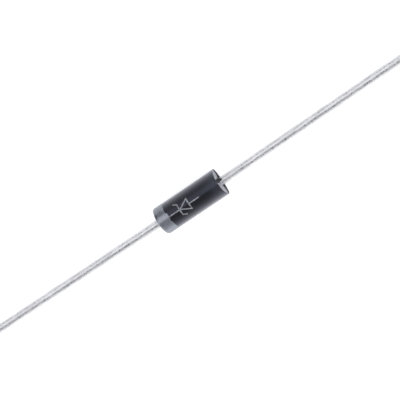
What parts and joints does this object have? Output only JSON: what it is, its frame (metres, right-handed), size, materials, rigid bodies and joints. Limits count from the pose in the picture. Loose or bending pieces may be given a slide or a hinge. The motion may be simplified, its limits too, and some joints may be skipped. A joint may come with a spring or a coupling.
{
  "type": "zener diode",
  "caption": "Axial zener diode: black moulded epoxy cylinder with one rounded end, silver-grey cathode band and straight tinned wire leads for through-hole soldering.",
  "frame": {"origin": "the middle of the moulded case on the axis of the leads", "axes": "+X along the leads from the cathode to the anode, +Y and +Z across them; the mould's parting plane is XY"},
  "size_m": [0.0628, 0.0034, 0.0034],
  "materials": {
    "moulding_epoxy": "black filled epoxy as it leaves the mould, fine satin",
    "silver_ink": "silver-grey marking ink, satin, a little worn",
    "tinned_copper": "satin tin plate on drawn copper wire",
    "silicon": "sawn silicon with metallised faces",
    "solder": "dull reflowed soft solder",
    "silicone": "milky cured silicone"
  },
  "bodies": {
    "root": {"moulded_body": "moulding_epoxy", "cathode_band": "silver_ink", "cathode_lead": "tinned_copper", "anode_lead": "tinned_copper", "zener_die": "silicon", "cathode_solder": "solder", "anode_solder": "solder", "junction_coating": "silicone"}
  },
  "joints": []
}
